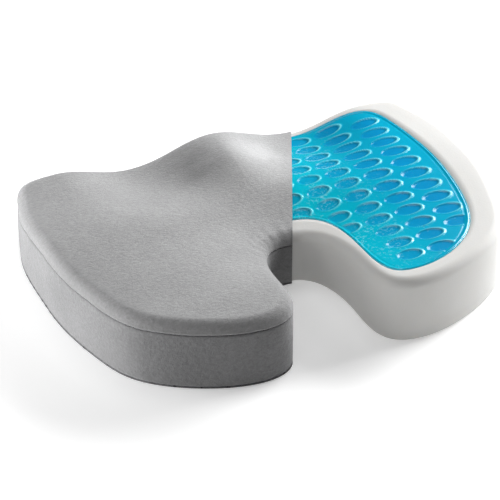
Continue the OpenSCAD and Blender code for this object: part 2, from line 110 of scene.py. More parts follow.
def seat_z(p):
    """Height of the foam's upper face, with the leg channels, the front ridge and the bowl."""
    x, y = p[..., 0], p[..., 1]
    ax = np.abs(x)
    crest = (np.hypot(ax, CREST_R) - CREST_R) / (np.hypot(CHANNEL_X, CREST_R) - CREST_R)
    sharp = np.sin(np.clip(crest, 0, 1) * np.pi / 2)
    soft = 1 - wave(x / CHANNEL_X)
    rounded = ease((y - 118) / 38)
    near = sharp * (1 - rounded) + soft * rounded
    channel = np.where(ax < CHANNEL_X, near, wave((ax - CHANNEL_X) / 78))
    front = -FRONT_DROP - CHANNEL_DROP * channel + RIDGE_RISE * wave(x / 70)
    bowl = np.exp(-((x / 82) ** 2) - ((y + 25) / 72) ** 2)
    bump = CREST_RISE * np.exp(-((x / 34) ** 2) - ((y - 112) / 38) ** 2)
    return SEAT_H + front * ease((y - 162 + FRONT_FADE) / (FRONT_FADE - 8)) + bump - BOWL_DROP * bowl


class Stations:
    """Evenly numbered places round the wall, with the point of the middle line that each looks at."""

    def __init__(self, per_span, spine_steps=60):
        self.n = SPANS * per_span
        self.u = np.arange(self.n) / per_span
        self.wall = spline(WALL, self.u)
        s = slope(WALL, self.u)
        self.inward = np.stack([s[:, 1], -s[:, 0]], 1) / np.linalg.norm(s, axis=1)[:, None]
        self.gel = spline(GEL, self.u)
        angle = np.radians(np.linspace(-90, 90, spine_steps + 1))
        self.spine = np.stack([120 * np.sin(angle), -88 + 150 * np.cos(angle)], 1)
        turn = np.interp(
            self.u, [0, 9.5, 12.5, 16.5, 20.5, 23.5, 33], [0.5, 1, 1, 0.5, 0, 0, 0.5]
        )
        self.to_spine = np.round(turn * spine_steps).astype(int)
        self.middle = self.spine[self.to_spine]

    def inset(self, d):
        return self.wall + self.inward * d

    def gel_edge(self, d):
        v = self.middle - self.gel
        return self.gel + v / np.linalg.norm(v, axis=1)[:, None] * d


def at(p, z):
    return np.column_stack([p, np.broadcast_to(z, len(p))])


def rim(st, angle, out):
    """One row of the rounded rim for an angle of the rounding, a distance out from the foam."""
    r = RIM_R + out
    p = st.inset(WALL_IN + RIM_R - r * math.cos(angle))
    return at(p, seat_z(p) - r * (1 - math.sin(angle)) + out)


def fill(st, start, dz, rows):
    """Rows from a starting line towards the middle line, on the seat's surface plus dz."""
    out = []
    for f in np.arange(1, rows) / rows:
        p = start * (1 - f) + st.middle * f
        out.append(at(p, seat_z(p) + (dz(p) if callable(dz) else dz)))
    return out


# ---------------------------------------------------------------- meshes
def build(name, verts, faces):
    """A smooth mesh piece from points in mm."""
    mesh = bpy.data.meshes.new(name)
    mesh.from_pydata((np.asarray(verts) * MM).tolist(), [], faces)
    mesh.validate()
    mesh.update()
    obj = bpy.data.objects.new(name, mesh)
    bpy.context.scene.collection.objects.link(obj)
    mesh.shade_smooth()
    return obj


def ring_quads(a, b, n):
    k = np.arange(n)
    m = (k + 1) % n
    return np.stack([a + k, b + k, b + m, a + m], 1).tolist()


def fan(a, n, target, up=True):
    """Faces from a ring to the middle line, whose vertex numbers are in target."""
    faces = []
    for k in range(n):
        m = (k + 1) % n
        face = [a + k, target[k], a + m] if target[k] == target[m] else [a + k, target[k], target[m], a + m]
        faces.append([int(i) for i in (face if up else face[::-1])])
    return faces


def shell(name, st, rings, low=None, high=None):
    """Rings joined into one surface; low and high close it with the middle line at those heights."""
    n = st.n
    verts = np.vstack(rings)
    faces = []
    for r in range(len(rings) - 1):
        faces += ring_quads(r * n, (r + 1) * n, n)
    for spine_z, first, up in ((low, 0, False), (high, (len(rings) - 1) * n, True)):
        if spine_z is not None:
            start = len(verts)
            z = seat_z(st.spine) + (spine_z(st.spine) if callable(spine_z) else spine_z)
            verts = np.vstack([verts, at(st.spine, z)])
            faces += fan(first, n, start + st.to_spine, up)
    return build(name, verts, faces)


def cut_plane():
    """A point of the cutaway's upright plane and its normal, towards the bare side."""
    a, b = spline(WALL, np.array(CUT_U))
    a, b = a - (CUT_CLEAR, 0), b - (CUT_CLEAR, 0)
    d = (a - b) / np.linalg.norm(a - b)
    return a, np.array([d[1], -d[0]])


def cut_away(obj, weld=0.6):
    """Removes what lies on the bare side of the cutaway and closes the cut flat."""
    p, n = cut_plane()
    bm = bmesh.new()
    bm.from_mesh(obj.data)
    cut = bmesh.ops.bisect_plane(
        bm, geom=bm.verts[:] + bm.edges[:] + bm.faces[:], dist=1e-6,
        plane_co=(p[0] * MM, p[1] * MM, 0), plane_no=(n[0], n[1], 0), clear_outer=True,
    )
    on_cut = [v for v in cut["geom_cut"] if isinstance(v, bmesh.types.BMVert)]
    close = bmesh.ops.find_doubles(bm, verts=bm.verts[:], keep_verts=on_cut, dist=weld * MM)
    bmesh.ops.weld_verts(bm, targetmap=close["targetmap"])
    edges = [e for e in bm.edges if e.is_boundary]
    for face in bmesh.ops.holes_fill(bm, edges=edges, sides=0)["faces"]:
        face.smooth = False
    bm.to_mesh(obj.data)
    bm.free()


def mark(obj, name, values):
    """A number for every vertex, which a material reads."""
    attr = obj.data.attributes.new(name, "FLOAT", "POINT")
    attr.data.foreach_set("value", np.asarray(values, float))


def thicken(obj, t):
    """Gives a cloth surface its thickness, inwards."""
    m = obj.modifiers.new("thickness", "SOLIDIFY")
    m.thickness = t
    m.offset = -1
    m.use_even_offset = False
    solid = bpy.data.meshes.new_from_object(obj.evaluated_get(bpy.context.evaluated_depsgraph_get()))
    obj.modifiers.clear()
    obj.data = solid


# ---------------------------------------------------------------- materials
class Mat:
    """Small helper that builds a node material."""

    def __init__(self, name):
        self.mat = bpy.data.materials.new(name)
        self.mat.use_nodes = True
        self.tree = self.mat.node_tree
        self.bsdf = self.tree.nodes["Principled BSDF"]
        self.coords = self.tree.nodes.new("ShaderNodeTexCoord").outputs["Object"]

    def node(self, kind, **inputs):
        n = self.tree.nodes.new("ShaderNode" + kind)
        for key, value in inputs.items():
            self.set(n.inputs[key.replace("_", " ")], value)
        return n

    def set(self, socket, value):
        if isinstance(value, bpy.types.NodeSocket):
            self.tree.links.new(value, socket)
        else:
            socket.default_value = value

    def noise(self, scale, detail=2.0, rough=0.5, vector=None, distortion=0.0):
        n = self.node("TexNoise", Vector=vector or self.coords, Scale=scale, Detail=detail,
                      Roughness=rough, Distortion=distortion)
        return n.outputs["Fac"]

    def voronoi(self, scale, vector=None):
        return self.node("TexVoronoi", Vector=vector or self.coords, Scale=scale).outputs["Distance"]

    def ramp(self, fac, stops):
        n = self.node("ValToRGB", Fac=fac)
        while len(n.color_ramp.elements) < len(stops):
            n.color_ramp.elements.new(0.5)
        for e, (pos, color) in zip(n.color_ramp.elements, stops):
            e.position = pos
            e.color = (*color, 1) if len(color) == 3 else color
        return n.outputs["Color"]

    def math(self, op, a, b=0.0, clamp=False):
        n = self.tree.nodes.new("ShaderNodeMath")
        n.operation = op
        n.use_clamp = clamp
        self.set(n.inputs[0], a)
        self.set(n.inputs[1], b)
        return n.outputs[0]

    def mix(self, fac, a, b):
        n = self.tree.nodes.new("ShaderNodeMix")
        n.data_type = "RGBA"
        self.set(n.inputs["Factor"], fac)
        self.set(n.inputs["A"], a if isinstance(a, bpy.types.NodeSocket) else (*a, 1))
        self.set(n.inputs["B"], b if isinstance(b, bpy.types.NodeSocket) else (*b, 1))
        return n.outputs["Result"]

    def scaled(self, x, y, z):
        return self.node("Mapping", Vector=self.coords, Scale=(x, y, z)).outputs["Vector"]

    def bump(self, height, distance, strength=1.0, normal=None):
        n = self.node("Bump", Height=height, Distance=distance, Strength=strength)
        if normal is not None:
            self.set(n.inputs["Normal"], normal)
        return n.outputs["Normal"]

    def shader(self, **inputs):
        for key, value in inputs.items():
            socket = self.bsdf.inputs[key.replace("_", " ")]
            if isinstance(value, tuple) and len(value) == 3 and socket.type == "RGBA":
                value = (*value, 1)
            self.set(socket, value)
        return self.mat


def velour(name, dark, light):
    """Short knitted pile: fine grain, brushed patches and a strong sheen, with painted shade on the
    turned-down rim and a painted highlight and painted shade on the ridge's flanks.
    """
    m = Mat(name)
    grain = m.noise(900, 3, 0.65)
    crinkle = m.noise(330, 2, 0.55, vector=m.scaled(0.75, 1.25, 1.0), distortion=0.6)
    brushed = m.noise(20, 3, 0.55)
    tone = m.math("ADD", m.math("MULTIPLY", grain, 0.40), m.math("MULTIPLY", crinkle, 0.35))
    tone = m.math("ADD", tone, m.math("MULTIPLY", brushed, 0.25))
    color = m.ramp(tone, [(0.34, dark), (0.66, light)])
    # painted shade: the colour darkens where the panel turns down to its seam, standing in for the shade on
    # the rim
    turned = m.node("Attribute")
    turned.attribute_name = "turned"
    color = m.mix(m.math("MULTIPLY", turned.outputs["Fac"], 0.45), color, tuple(c * 0.35 for c in dark))
    # painted highlight on the ridge's right flank and painted shade on its left flank, with ragged edges
    for flank, tint, share in (("painted_flank_highlight", tuple(c * 1.4 for c in light), 0.6),
                               ("painted_flank_shade", tuple(c * 0.45 for c in dark), 0.5)):
        flank_mask = m.node("Attribute")
        flank_mask.attribute_name = flank
        ragged = m.math("MULTIPLY", m.noise(42, 4, 0.6), m.math("MULTIPLY", flank_mask.outputs["Fac"], 1.9))
        color = m.mix(m.math("MULTIPLY", m.math("MINIMUM", ragged, 1.0), share), color, tint)
    height = m.math("ADD", m.math("MULTIPLY", grain, 0.45), crinkle)
    return m.shader(
        Base_Color=color, Roughness=0.95, Specular_IOR_Level=0.10,
        Sheen_Weight=0.30, Sheen_Roughness=0.45, Sheen_Tint=(0.97, 0.98, 1.0),
        Normal=m.bump(height, 0.0008, 0.7),
    )


def foam_material():
    m = Mat("foam_skin")
    pores = m.voronoi(900)
    soft = m.noise(28, 3, 0.5)
    color = m.mix(soft, (0.585, 0.58, 0.562), (0.63, 0.627, 0.615))
    height = m.math("ADD", m.math("MULTIPLY", pores, 0.4), m.noise(500, 2))
    return m.shader(
        Base_Color=color, Roughness=0.75, Specular_IOR_Level=0.3,
        Subsurface_Weight=0.15, Subsurface_Radius=(0.006, 0.005, 0.004), Subsurface_Scale=1.0,
        Normal=m.bump(height, 0.0002, 0.5),
    )


def gel_material():
    """Translucent blue gel: darker blue in the dimples as painted shade, lighter on the webs between them,
    with a painted shade outline and a painted crescent highlight on each oval.
    """
    m = Mat("gel_blue")
    depth = m.node("Attribute")
    depth.attribute_name = "dimple"
    cloud = m.noise(45, 3, 0.55)
    across = m.node("SeparateXYZ", Vector=m.coords).outputs["X"]
    # painted reflection: lighter blue with milky painted glints near the cutaway, deeper blue towards the
    # outer side
    painted_reflection_side = m.node("MapRange", Value=across, From_Min=0.13, From_Max=0.02).outputs["Result"]
    webs = m.mix(painted_reflection_side, (0.0, 0.36, 0.55), (0.0, 0.50, 0.62))
    floor = m.mix(painted_reflection_side, (0.0, 0.24, 0.52), (0.0, 0.36, 0.55))
    # painted shade: darker blue in the dimple floors
    base = m.mix(m.math("MULTIPLY", depth.outputs["Fac"], 0.8), webs, floor)
    # painted shade: a dark outline just inside each oval's lip
    outline_shade = m.node("Attribute")
    outline_shade.attribute_name = "ring"
    base = m.mix(m.math("MULTIPLY", outline_shade.outputs["Fac"], 0.5), base, (0.0, 0.17, 0.36))
    # painted highlight: pale cyan crescents along the right ends of the ovals
    crescent_highlight = m.node("Attribute")
    crescent_highlight.attribute_name = "lit"
    base = m.mix(m.math("MULTIPLY", crescent_highlight.outputs["Fac"], 0.75), base, (0.25, 0.85, 0.92))
    speckle = m.node("MapRange", Value=m.noise(330, 3, 0.7), From_Min=0.52, From_Max=0.72)
    patch = m.node("MapRange", Value=m.noise(38, 2, 0.5), From_Min=0.42, From_Max=0.66)
    painted_glints = m.math("MULTIPLY", m.math("MULTIPLY", painted_reflection_side, speckle.outputs["Result"]), patch.outputs["Result"])
    color = m.mix(painted_glints, base, (0.30, 0.80, 0.88))
    height = m.math("ADD", cloud, m.math("MULTIPLY", m.noise(300, 3, 0.6), m.math("MULTIPLY", painted_reflection_side, 0.35)))
    return m.shader(
        Base_Color=color, Roughness=0.16, Specular_IOR_Level=0.35,
        Coat_Weight=0.15, Coat_Roughness=0.05,
        Subsurface_Weight=0.12, Subsurface_Radius=(0.001, 0.004, 0.006), Subsurface_Scale=1.0,
        Normal=m.bump(height, 0.0007, 0.45),
    )


def film_material():
    m = Mat("film_clear")
    color = m.mix(m.noise(80, 2), (0.02, 0.50, 0.66), (0.10, 0.62, 0.76))
    return m.shader(Base_Color=color, Roughness=0.10, Coat_Weight=0.8, Coat_Roughness=0.04,
                    Normal=m.bump(m.noise(300, 2), 0.0002, 0.4))


def base_material():
    """Woven base cloth with printed grip dots."""
    m = Mat("base_dots")
    cell = m.node("VectorMath", Vector=m.scaled(90, 90, 0))
    cell.operation = "FRACTION"
    away = m.tree.nodes.new("ShaderNodeVectorMath")
    away.operation = "DISTANCE"
    m.set(away.inputs[0], cell.outputs["Vector"])
    away.inputs[1].default_value = (0.5, 0.5, 0)
    dot = m.math("LESS_THAN", away.outputs["Value"], 0.17)
    weave = m.node("TexWave", Vector=m.coords, Scale=420.0, Distortion=1.0).outputs["Fac"]
    cloth = m.mix(weave, (0.11, 0.11, 0.115), (0.16, 0.16, 0.165))
    height = m.math("ADD", m.math("MULTIPLY", weave, 0.25), dot)
    return m.shader(Base_Color=m.mix(dot, cloth, (0.03, 0.03, 0.031)), Roughness=0.85,
                    Normal=m.bump(height, 0.0005, 0.8))


def cloth_material(name, dark, light, scale=900.0, across=(1, 1, 1), bump=0.0003):
    """Woven tape, webbing or thread: two crossing waves with a little dirt."""
    m = Mat(name)
    v = m.scaled(*across)
    one = m.node("TexWave", Vector=v, Scale=scale, Distortion=0.6, Detail=1.0).outputs["Fac"]
    two = m.node("TexWave", Vector=v, Scale=scale * 0.8, Distortion=0.6, Detail=1.0)
    two.bands_direction = "Z"
    both = m.math("MULTIPLY", one, two.outputs["Fac"])
    dirt = m.noise(120, 3)
    color = m.ramp(m.math("ADD", m.math("MULTIPLY", both, 0.6), m.math("MULTIPLY", dirt, 0.4)),
                   [(0.15, dark), (0.75, light)])
    return m.shader(Base_Color=color, Roughness=0.85, Sheen_Weight=0.25, Sheen_Roughness=0.4,
                    Normal=m.bump(both, bump, 0.8))


def hard_material(name, dark, light, rough, metal=0.0):
    """Painted metal or moulded plastic with faint mottling and worn patches."""
    m = Mat(name)
    wear = m.noise(900, 4, 0.7)
    color = m.ramp(wear, [(0.35, dark), (0.70, light)])
    roughness = m.math("ADD", m.math("MULTIPLY", wear, 0.25), rough)
    return m.shader(Base_Color=color, Roughness=roughness, Metallic=metal,
                    Normal=m.bump(m.noise(1500, 2), 0.0001, 0.3))


def paint(obj, mat):
    obj.data.materials.clear()
    obj.data.materials.append(mat)


def repaint(node, mat):
    """A better material in a CAD node's own slots."""
    for s in NODES[node].material_slots:
        s.material = mat


# ---------------------------------------------------------------- foam and gel
RECESS = 4.5


def make_foam():
    """Moulded foam block with its recess for the gel."""
    st = Stations(12)
    left = (st.u > CUT_U[1]) | (st.u < CUT_U[0])
    foot = np.where(left, 1.5, 0.0)
    rings = [at(st.inset(WALL_IN + 14), foot), at(st.inset(WALL_IN + 4), foot)]
    for a in (25, 50, 75):
        c, s = math.cos(math.radians(a)), math.sin(math.radians(a))
        rings.append(at(st.inset(WALL_IN + 4 * (1 - s)), foot + 4 * (1 - c)))
    top = seat_z(st.inset(WALL_IN)) - RIM_R
    for f in np.linspace(0, 1, 8):
        rings.append(at(st.inset(WALL_IN), (foot + 4) * (1 - f) + top * f))
    rings += [rim(st, a, 0) for a in np.linspace(0, math.pi / 2, 10)[1:]]
    edge = st.gel_edge(0)
    start = st.inset(WALL_IN + RIM_R)
    for f in (0.35, 0.7):
        p = start * (1 - f) + edge * f
        rings.append(at(p, seat_z(p)))
    near = st.gel_edge(-0.6)
    rings.append(at(near, seat_z(near) - 0.05))
    rings.append(at(edge, seat_z(edge) - 0.8))
    rings.append(at(edge, seat_z(edge) - RECESS))
    rings += fill(st, edge, -RECESS, 14)
    obj = shell("foam", st, rings, high=-RECESS)
    close_ring(obj, 0, st.n)
    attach(obj, "cushion")
    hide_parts("foam_core")
    paint(obj, foam_material())
    return obj


def close_ring(obj, start, n):
    """Closes the ring of n vertices that begins at start."""
    bm = bmesh.new()
    bm.from_mesh(obj.data)
    bm.verts.ensure_lookup_table()
    face = bm.faces.new([bm.verts[start + i] for i in range(n)])
    bmesh.ops.triangulate(bm, faces=[face])
    bmesh.ops.recalc_face_normals(bm, faces=bm.faces[:])
    bm.to_mesh(obj.data)
    bm.free()


# columns of oval dimples: distance from the middle, half length, shift towards the front
COLUMNS = [(28, 11.5, 3), (57, 12.5, 2), (87, 13.5, 0), (120, 15, 0), (155, 15.5, 9)]
PITCH = 23.2
ROW_START = -6.0
OVAL_HALF = 8.4
DIMPLE = 0.7
LIP = 0.75


def dimple_centres():
    edge = spline(GEL, np.arange(0, SPANS, 0.125))
    for x, half, shift in COLUMNS:
        for side in (-1, 1):
            for row in range(-8, 8):
                c = np.array([side * x, ROW_START + row * PITCH + shift])
                if inside(edge, c) and np.linalg.norm(edge - c, axis=1).min() > 6:
                    yield c, half


def inside(loop, p):
    a, b = loop, np.roll(loop, -1, 0)
    cross = (a[:, 1] > p[1]) != (b[:, 1] > p[1])
    x = a[:, 0] + (p[1] - a[:, 1]) / np.where(cross, b[:, 1] - a[:, 1], 1) * (b[:, 0] - a[:, 0])
    return np.count_nonzero(cross & (p[0] < x)) % 2 == 1


def dimple_field(p):
    """Height of the gel's relief, how deep inside a dimple each point is, and masks for the dimples' painted
    shade outlines and painted crescent highlights.
    """
    z, deep, ring, lit = np.zeros((4, len(p)))
    for c, half in dimple_centres():
        d = (p - c) / (half, OVAL_HALF)
        near = (np.abs(d) < 1.6).all(1)
        r = np.linalg.norm(d[near], axis=1)
        bowl = ease((1.0 - r) / 0.30)
        # the lip stands highest at the outer right end of each oval
        side = d[near][:, 0] / np.maximum(r, 1e-6)
        lip = np.exp(-(((r - 1.0) / 0.10) ** 2)) * (0.55 + 0.45 * side)
        z[near] += -DIMPLE * bowl + LIP * lip
        # masks for painted shade in the bowls and in a thin ring inside the lips, and for a painted highlight
        # on the lips' right ends
        deep[near] = np.maximum(deep[near], bowl)
        ring[near] = np.maximum(ring[near], np.exp(-(((r - 0.88) / 0.07) ** 2)))
        lit[near] = np.maximum(lit[near], np.exp(-(((r - 1.01) / 0.075) ** 2)) * (0.4 + 0.6 * side))
    return z, deep, ring, lit


def make_gel():
    """Gel layer with rows of oval dimples."""
    st = Stations(40, 320)
    low = -RECESS + 0.7
    rings = fill(st, st.gel_edge(1.0), low, 8)[::-1]
    rings.append(at(st.gel_edge(1.0), seat_z(st.gel_edge(1.0)) + low))
    for d, dz in ((1.0, -1.2), (1.05, -0.4), (1.5, 0.25), (2.2, 0.5), (3.0, 0.45), (4.0, 0.0), (5.2, -0.3)):
        p = st.gel_edge(d)
        rings.append(at(p, seat_z(p) + dz))
    start = st.gel_edge(6.6)
    rings.append(at(start, seat_z(start)))
    rings += fill(st, start, 0, 84)
    obj = shell("gel", st, rings, low=low, high=0)
    upper = (8 + 7) * st.n
    co = np.array([v.co for v in obj.data.vertices]) / MM
    top = np.arange(len(co)) >= upper
    top[len(co) - 2 * len(st.spine):len(co) - len(st.spine)] = False
    edge = spline(GEL, np.arange(0, SPANS, 0.25))
    p = co[top][:, :2]
    away = np.sqrt(((p[:, None, :] - edge[None, :, :]) ** 2).sum(2).min(1))
    z, deep, ring, lit = dimple_field(p)
    fade = ease((away - 2.5) / 4)
    co[top, 2] += z * fade
    # masks for the painted shade and the painted highlights of the dimples
    for name, part in (("dimple", deep), ("ring", ring), ("lit", lit)):
        values = np.zeros(len(co))
        values[top] = part * fade
        mark(obj, name, values)
    obj.data.vertices.foreach_set("co", (co * MM).ravel())
    obj.data.update()
    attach(obj, "cushion")
    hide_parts("gel_pad")
    paint(obj, gel_material())
    return obj


def make_film():
    """Thin film tray whose edge shows as a bright line round the gel."""
    st = Stations(12)
    low = -RECESS + 0.1
    rings = fill(st, st.gel_edge(0.2), low, 8)[::-1]
    profile = ((0.2, low), (0.2, -0.3), (0.3, 0.12), (0.55, 0.22), (0.8, 0.12), (0.9, -0.3), (0.9, low + 0.5))
    for d, dz in profile:
        p = st.gel_edge(d)
        rings.append(at(p, seat_z(p) + dz))
    rings += fill(st, st.gel_edge(0.9), low + 0.5, 8)
    obj = shell("gel_film", st, rings, low=low, high=low + 0.5)
    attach(obj, "cushion")
    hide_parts("gel_backing_film")
    paint(obj, film_material())
    return obj


# ---------------------------------------------------------------- cover
BASE_T = 1.2


def pucker(st, amount):
    """Small uneven gathers along a seam."""
    s = np.cumsum(np.linalg.norm(np.diff(st.wall, axis=0, append=st.wall[:1]), axis=1))
    return amount * (np.sin(s / 3.1) * np.sin(s / 17 + 1.3) + 0.6 * np.sin(s / 7.3 + 0.4))


def notch_creases(st):
    """Short creases that fan out where the top panel is pulled round the notch."""
    round_notch = np.exp(-(((st.u - 16.5) / 2.2) ** 2))
    return 0.45 * round_notch * np.sin(st.u * 21.0 + 1.4 * np.sin(st.u * 4.7))


def make_cover_top():
    """The cover's top panel, cut off at the bare side."""
    st = Stations(12)
    seam = seat_z(st.inset(WALL_IN)) - RIM_R
    gather = pucker(st, 0.22)
    outer = WALL_IN - COVER_OUT
    rings = []
    for d, dz, share in ((1.5, 0.25, 0), (0.9, 0.35, 0), (0.35, 0.75, 0.6), (0.08, 1.4, 1), (0.0, 2.3, 1)):
        p = st.wall + st.inward * (outer + d + gather * share)[:, None]
        rings.append(at(p, seam + dz))
    # mask of the painted shade on the rim: 1 along the seam, falling off over the rounding, 0 on the seat
    turned = [1.0] * len(rings)
    for a in np.linspace(0, math.pi / 2, 13)[2:]:
        rings.append(rim(st, a, COVER_OUT))
        turned.append(math.cos(a) ** 0.7)
    start = st.inset(WALL_IN + RIM_R)
    rings += fill(st, start, COVER_OUT, 22)
    crease = notch_creases(st)
    for i, row in enumerate(rings[3:]):
        row[:, 2] += crease * math.exp(-(((i - 9) / 5.5) ** 2))
    turned += [0.0] * (len(rings) - len(turned))
    obj = shell("cover_top", st, rings, high=COVER_OUT)
    values = np.zeros(len(obj.data.vertices))
    values[:len(rings) * st.n] = np.repeat(turned, st.n)
    mark(obj, "turned", values)
    # where the painted highlight and the painted shade lie on the ridge's two flanks
    x, y = np.array([v.co[:2] for v in obj.data.vertices]).T / MM
    mark(obj, "painted_flank_highlight", np.exp(-(((x - 32) / 27) ** 2) - ((y - 108) / 48) ** 2))
    mark(obj, "painted_flank_shade", np.exp(-(((x + 34) / 30) ** 2) - ((y - 108) / 42) ** 2))
    thicken(obj, FABRIC_T * MM)
    cut_away(obj)
    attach(obj, "cushion")
    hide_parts("cover_top_panel")
    paint(obj, velour("velour_top", (0.245, 0.245, 0.247), (0.38, 0.38, 0.382)))
    return obj


def make_cover_band():
    """The cover's side band, cut off at the bare side."""
    st = Stations(12)
    seam = seat_z(st.inset(WALL_IN)) - RIM_R
    gather = pucker(st, 0.2)
    outer = WALL_IN - COVER_OUT
    rings = []
    low = BASE_T + 0.3
    for f, d, share in (
        (0.0, 1.6, 0), (0.004, 0.9, 0), (0.02, 0.4, 0.6), (0.05, 0.1, 1), (0.12, -0.2, 1), (0.25, -0.5, 0.4),
        (0.4, -0.7, 0), (0.55, -0.7, 0), (0.7, -0.5, 0), (0.82, -0.2, 0.4), (0.92, 0.0, 1), (0.965, 0.1, 1),
        (0.985, 0.4, 0.6), (0.996, 0.9, 0), (1.0, 1.5, 0),
    ):
        p = st.wall + st.inward * (outer + d + gather * share)[:, None]
        rings.append(at(p, low + (seam - 0.25 - low) * f))
    obj = shell("cover_band", st, rings)
    thicken(obj, FABRIC_T * MM)
    cut_away(obj)
    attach(obj, "cushion")
    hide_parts("cover_boxing")
    # painted shade: the band is the same velour as the top panel, coloured darker to stand in for the shade
    # on the side walls
    paint(obj, velour("velour_band", (0.125, 0.125, 0.127), (0.215, 0.215, 0.217)))
    return obj


def make_cover_base():
    """Flat base cloth with a rounded edge."""
    st = Stations(12)
    edge = WALL_IN - COVER_OUT
    rows = [(3.0, 0.0), (edge + 0.3, 0.0), (edge + 0.05, 0.3), (edge, 0.6), (edge + 0.05, 0.9),
            (edge + 0.3, BASE_T), (3.0, BASE_T)]
    obj = shell("cover_base", st, [at(st.inset(d), z) for d, z in rows])
    close_ring(obj, 0, st.n)
    close_ring(obj, (len(rows) - 1) * st.n, st.n)
    cut_away(obj, 0.1)
    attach(obj, "cushion")
    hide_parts("cover_base_panel")
    paint(obj, base_material())
    return obj


# ---------------------------------------------------------------- small parts
STRAP_T = 2.2
ROLL_R = 1.45
RIB = 0.12
STRAP_SIDES = 40


def strap_section(x, arch, bow, half_w):
    """Offsets out of and across the strap at x, how far it has bowed out, and its lean."""
    radius = (arch**2 + bow**2) / (2 * bow)
    turn = np.linspace(0, 2 * np.pi, STRAP_SIDES, endpoint=False)
    across = np.sign(np.cos(turn)) * np.abs(np.cos(turn)) ** 0.5
    out = np.sign(np.sin(turn)) * np.abs(np.sin(turn)) ** 0.5
    rolled = ease((abs(x) - arch + 3) / 4)
    taper = ease((abs(x) - arch + 17) / 16)
    width = half_w * (1 - taper) + 2.0 * taper
    z = across * (width * (1 - rolled) + ROLL_R * rolled)
    rib = 1 - RIB * (0.5 - 0.5 * np.cos(2 * np.pi * z / 1.9)) * (1 - rolled)
    d = out * (STRAP_T / 2 * rib * (1 - rolled) + ROLL_R * rolled)
    z = z * (1 - rolled) + ROLL_R * np.cos(turn) * rolled
    d = d * (1 - rolled) + ROLL_R * np.sin(turn) * rolled
    bowed = max(0.0, math.sqrt(radius**2 - x * x) - radius + bow) * (1 - rolled)
    return d, z, bowed, math.asin(max(-1, min(1, x / radius))) * (1 - rolled)


def make_handle():
    """Ribbed webbing that bows out from the band and narrows to a rolled end at each side."""
    lo, hi = (np.array(p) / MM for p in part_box("handle_loop"))
    half_x, half_w = hi[0], (hi[2] - lo[2]) / 2 - 0.1
    axis_y, axis_z = lo[1] + 1.5, (lo[2] + hi[2]) / 2
    bow, arch = hi[1] - STRAP_T / 2 - axis_y, half_x - 6
    verts = []
    stops = np.concatenate([[-half_x, -half_x + 3], np.linspace(-arch, arch, 73), [half_x - 3, half_x]])
    for x in stops:
        d, z, bowed, lean = strap_section(x, arch, bow, half_w)
        verts.append(np.stack([x + d * math.sin(lean), axis_y + bowed + d * math.cos(lean), axis_z + z], 1))
    n, last = STRAP_SIDES, (len(stops) - 1) * STRAP_SIDES
    faces = []
    for start in range(0, last, n):
        faces += ring_quads(start, start + n, n)
    faces += [list(range(n)), list(range(last, last + n))[::-1]]
    obj = build("handle_webbing", np.vstack(verts), faces)
    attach(obj, "handle")
    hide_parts("handle_loop")
    paint(obj, webbing_material())


def grid_faces(nx, nz, start, up):
    """Faces of a grid of nx by nz vertices."""
    quads = [[r * nx + c, r * nx + c + 1, (r + 1) * nx + c + 1, (r + 1) * nx + c]
             for r in range(nz - 1) for c in range(nx - 1)]
    return [[start + i for i in (q if up else q[::-1])] for q in quads]


def soft_slab(lo, hi, soft, swell=0.0):
    """Vertices and faces of a flat cloth piece with soft edges, its back against the cover."""
    step = 0.5 * soft
    along = [np.concatenate([[0, 0.15, 0.5], np.arange(1, (hi[a] - lo[a]) / step - 1), [-0.5, -0.15, 0]])
             for a in (0, 2)]
    xs, zs = [np.where(np.arange(len(t)) < len(t) - 3, lo[a] + t * step, hi[a] + t * step)
              for a, t in zip((0, 2), along)]
    x, z = np.meshgrid(xs, zs)
    inward = np.minimum(np.minimum(x - lo[0], hi[0] - x), np.minimum(z - lo[2], hi[2] - z))
    round_off = np.sqrt(1 - (1 - np.clip(inward / soft, 0, 1)) ** 2)
    t = hi[1] - lo[1]
    puff = swell * (1 - np.abs(2 * (z - lo[2]) / (hi[2] - lo[2]) - 1) ** 3)
    front = np.stack([x, lo[1] + 0.35 * t + (0.65 * t - swell + puff) * round_off, z], 2).reshape(-1, 3)
    back = np.stack([x, np.full_like(x, lo[1]), z], 2).reshape(-1, 3)
    nx, nz, n = len(xs), len(zs), len(front)
    faces = grid_faces(nx, nz, 0, False) + grid_faces(nx, nz, n, True)
    rim = [*range(nx), *range(2 * nx - 1, n, nx), *range(n - 2, n - nx - 1, -1), *range(n - 2 * nx, 0, -nx)]
    faces += [[p, q, q + n, p + n] for p, q in zip(rim, rim[1:] + rim[:1])]
    return np.vstack([front, back]), faces


def keeper(x0, x1, y, z, outer, bore):
    """Vertices and faces of the hemmed sleeve that a rolled end turns in."""
    lip = 0.45
    profile = [(x0, bore + lip), (x0 + 0.15, bore + 0.15), (x0 + lip, bore), (x1 - lip, bore),
               (x1 - 0.15, bore + 0.15), (x1, bore + lip), (x1 - 0.15, outer - 0.15), (x1 - lip, outer),
               (x0 + lip, outer), (x0 + 0.15, outer - 0.15)]
    turn = np.linspace(0, 2 * np.pi, 48, endpoint=False)
    verts = np.vstack([np.stack([np.full(48, x), y + r * np.cos(turn), z + r * np.sin(turn)], 1)
                       for x, r in profile])
    faces = []
    for i in range(len(profile)):
        faces += ring_quads(i * 48, (i + 1) % len(profile) * 48, 48)
    return verts, faces


def joined(name, parts):
    """One object from several sets of vertices and faces."""
    verts, faces = [], []
    for v, f in parts:
        start = sum(len(w) for w in verts)
        verts.append(v)
        faces += [[start + i for i in face] for face in f]
    obj = build(name, np.vstack(verts), faces)
    bm = bmesh.new()
    bm.from_mesh(obj.data)
    bmesh.ops.recalc_face_normals(bm, faces=bm.faces[:])
    bm.to_mesh(obj.data)
    bm.free()
    return obj


PATCH_W, PATCH_T = 20.0, 1.2
KEEPER_R, KEEPER_BORE, KEEPER_W = 2.6, 1.58, 4.0


